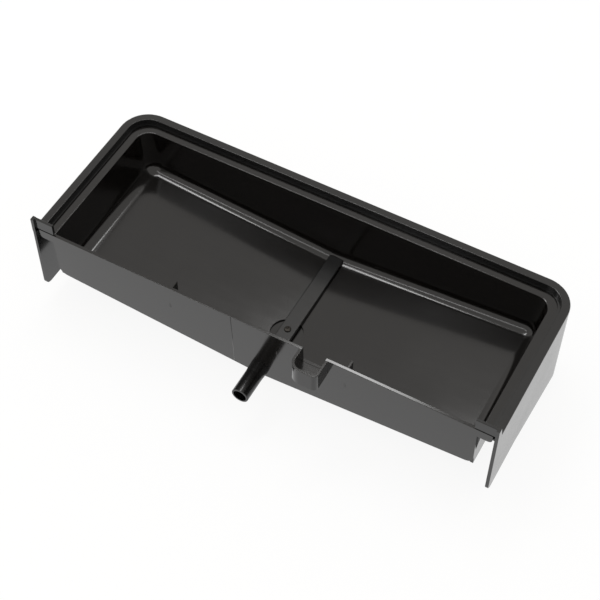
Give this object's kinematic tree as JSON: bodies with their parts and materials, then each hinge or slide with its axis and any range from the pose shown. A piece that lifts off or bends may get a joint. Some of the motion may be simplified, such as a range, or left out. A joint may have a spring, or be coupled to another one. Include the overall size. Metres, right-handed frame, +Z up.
{
  "type": "drip tray",
  "caption": "Shallow black drip tray with a V-shaped floor, an outlet spout and a front finger pocket, sliding in a rimmed surround.",
  "frame": {"origin": "middle of the bounding box's base", "axes": "+X along the tray to the right seen from the front, +Y from the spout to the back, +Z up"},
  "size_m": [0.45, 0.2014, 0.1143],
  "materials": {
    "surround_plastic": "semi-gloss black",
    "basin_plastic": "semi-gloss black",
    "spout_plastic": "gloss black",
    "cover_plastic": "semi-gloss black",
    "screw_steel": "blackened"
  },
  "bodies": {
    "surround": {"surround": "surround_plastic"},
    "basin": {"basin": "basin_plastic", "drain_spout": "spout_plastic", "channel_cover": "cover_plastic", "cover_screw": "screw_steel"}
  },
  "joints": [
    {"name": "basin_slide", "type": "slide", "parent": "surround", "child": "basin", "axis": [0, -1, 0], "range_m": [0, 0.15]}
  ]
}
